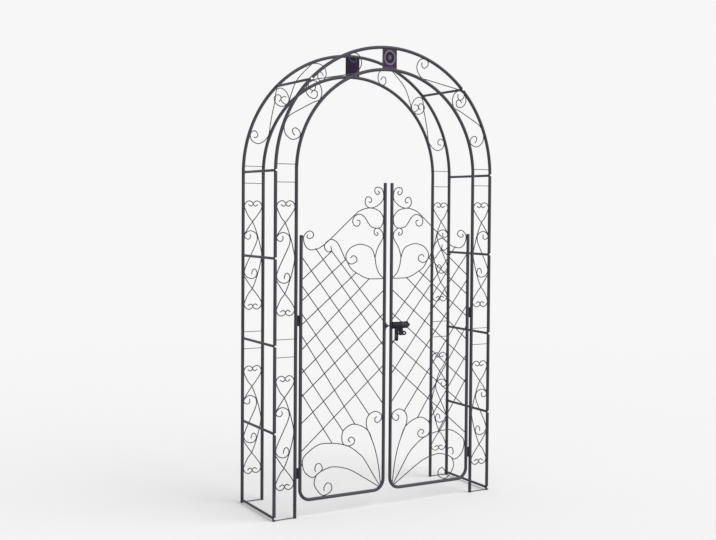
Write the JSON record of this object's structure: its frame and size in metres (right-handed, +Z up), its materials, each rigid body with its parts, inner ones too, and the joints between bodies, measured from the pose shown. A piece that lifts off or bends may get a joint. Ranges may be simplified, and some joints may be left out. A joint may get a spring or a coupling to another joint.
{
  "type": "garden arch with gate",
  "caption": "Scrolled steel garden arch with hinged lattice gate leaves, a sliding latch, rungs from front to back and an oval plaque at the crown of each face.",
  "frame": {"origin": "on the ground under the middle of the arch, half-way between its faces and its sides", "axes": "+X to the right seen from the front, +Y from the gate face to the back face, +Z up"},
  "size_m": [1.15, 0.3779, 2.095],
  "materials": {
    "powder_coat": "satin charcoal powder coat",
    "latch_black": "semi-gloss black",
    "zinc_fasteners": "bright zinc plate"
  },
  "bodies": {
    "arch_frame": {"left_front_lower_panel": "powder_coat", "left_front_upper_panel": "powder_coat", "left_front_arch_quarter": "powder_coat", "left_back_lower_panel": "powder_coat", "left_back_upper_panel": "powder_coat", "left_back_arch_quarter": "powder_coat", "left_rung_1": "powder_coat", "left_rung_bolt_1": "zinc_fasteners", "left_rung_2": "powder_coat", "left_rung_bolt_2": "zinc_fasteners", "left_rung_3": "powder_coat", "left_rung_bolt_3": "zinc_fasteners", "left_rung_4": "powder_coat", "left_rung_bolt_4": "zinc_fasteners", "left_rung_5": "powder_coat", "left_rung_bolt_5": "zinc_fasteners", "left_rung_6": "powder_coat", "left_rung_bolt_6": "zinc_fasteners", "left_lower_hinge_pin": "powder_coat", "left_upper_hinge_pin": "powder_coat", "right_front_lower_panel": "powder_coat", "right_front_upper_panel": "powder_coat", "right_front_arch_quarter": "powder_coat", "right_back_lower_panel": "powder_coat", "right_back_upper_panel": "powder_coat", "right_back_arch_quarter": "powder_coat", "right_rung_1": "powder_coat", "right_rung_bolt_1": "zinc_fasteners", "right_rung_2": "powder_coat", "right_rung_bolt_2": "zinc_fasteners", "right_rung_3": "powder_coat", "right_rung_bolt_3": "zinc_fasteners", "right_rung_4": "powder_coat", "right_rung_bolt_4": "zinc_fasteners", "right_rung_5": "powder_coat", "right_rung_bolt_5": "zinc_fasteners", "right_rung_6": "powder_coat", "right_rung_bolt_6": "zinc_fasteners", "right_lower_hinge_pin": "powder_coat", "right_upper_hinge_pin": "powder_coat", "front_plaque": "powder_coat", "back_plaque": "powder_coat"},
    "left_leaf": {"left_leaf_frame": "powder_coat", "left_leaf_scrollwork": "powder_coat", "left_lower_hinge_knuckle": "powder_coat", "left_upper_hinge_knuckle": "powder_coat", "latch_keeper": "latch_black"},
    "right_leaf": {"right_leaf_frame": "powder_coat", "right_leaf_scrollwork": "powder_coat", "right_lower_hinge_knuckle": "powder_coat", "right_upper_hinge_knuckle": "powder_coat", "latch_backplate": "latch_black", "latch_case": "latch_black", "latch_screw_upper": "zinc_fasteners", "latch_screw_lower": "zinc_fasteners"},
    "latch_bolt": {"latch_bolt": "latch_black"}
  },
  "joints": [
    {"name": "left_leaf_hinge", "type": "hinge", "parent": "arch_frame", "child": "left_leaf", "pos_m": [-0.4553, -0.1725, 0], "axis": [0, 0, 1], "range_deg": [-100, 85]},
    {"name": "right_leaf_hinge", "type": "hinge", "parent": "arch_frame", "child": "right_leaf", "pos_m": [0.4553, -0.1725, 0], "axis": [0, 0, 1], "range_deg": [-85, 100]},
    {"name": "latch_bolt_slide", "type": "slide", "parent": "right_leaf", "child": "latch_bolt", "axis": [-1, 0, 0], "range_m": [-0.02, 0.015]}
  ]
}
